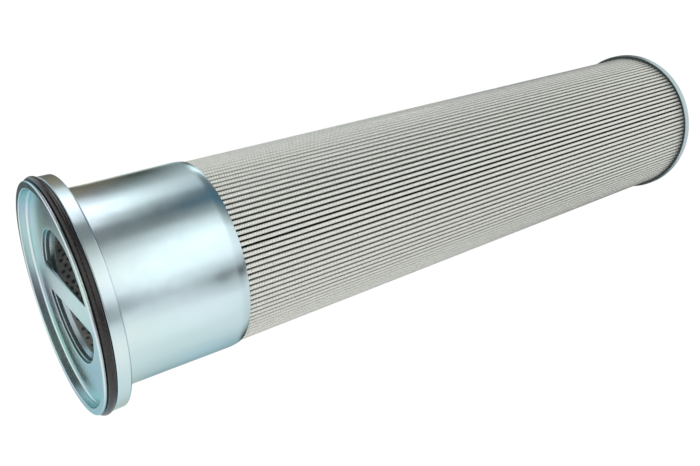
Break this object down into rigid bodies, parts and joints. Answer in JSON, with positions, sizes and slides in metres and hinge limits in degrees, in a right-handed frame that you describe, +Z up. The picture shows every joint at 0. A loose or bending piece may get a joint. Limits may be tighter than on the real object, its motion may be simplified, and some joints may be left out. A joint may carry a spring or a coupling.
{
  "type": "hydraulic return-line filter element",
  "caption": "Long cylindrical hydraulic filter element: pleated wire-mesh pack, flanged zinc-plated sleeve with ring seal, pull bar across the inlet, closed pan at the foot.",
  "frame": {"origin": "centre of the underside of the lower end cap, on the filter's axis", "axes": "+Z up the filter's axis, from the lower end cap to the flange; +X along the pull bar; +Y across it"},
  "size_m": [0.1524, 0.1524, 0.575],
  "materials": {
    "cover_zinc": "clear zinc plate, satin",
    "sleeve_zinc": "clear zinc plate, bright",
    "seal_rubber": "matte black",
    "cap_zinc": "clear zinc plate, satin",
    "wire_mesh": "fine woven wire, dull",
    "fleece": "matte white fleece",
    "glass_fibre": "matte white felt",
    "tube_steel": "dull grey perforated sheet",
    "adhesive": "dark cured resin"
  },
  "bodies": {
    "root": {"top_cover": "cover_zinc", "flange_seal": "seal_rubber", "flange_sleeve": "sleeve_zinc", "upper_end_cap": "cap_zinc", "upper_potting": "adhesive", "outer_wire_mesh": "wire_mesh", "outer_fleece": "fleece", "glass_fibre_layer": "glass_fibre", "inner_fleece": "fleece", "inner_wire_mesh": "wire_mesh", "centre_tube": "tube_steel", "lower_potting": "adhesive", "lower_end_cap": "cap_zinc"}
  },
  "joints": []
}
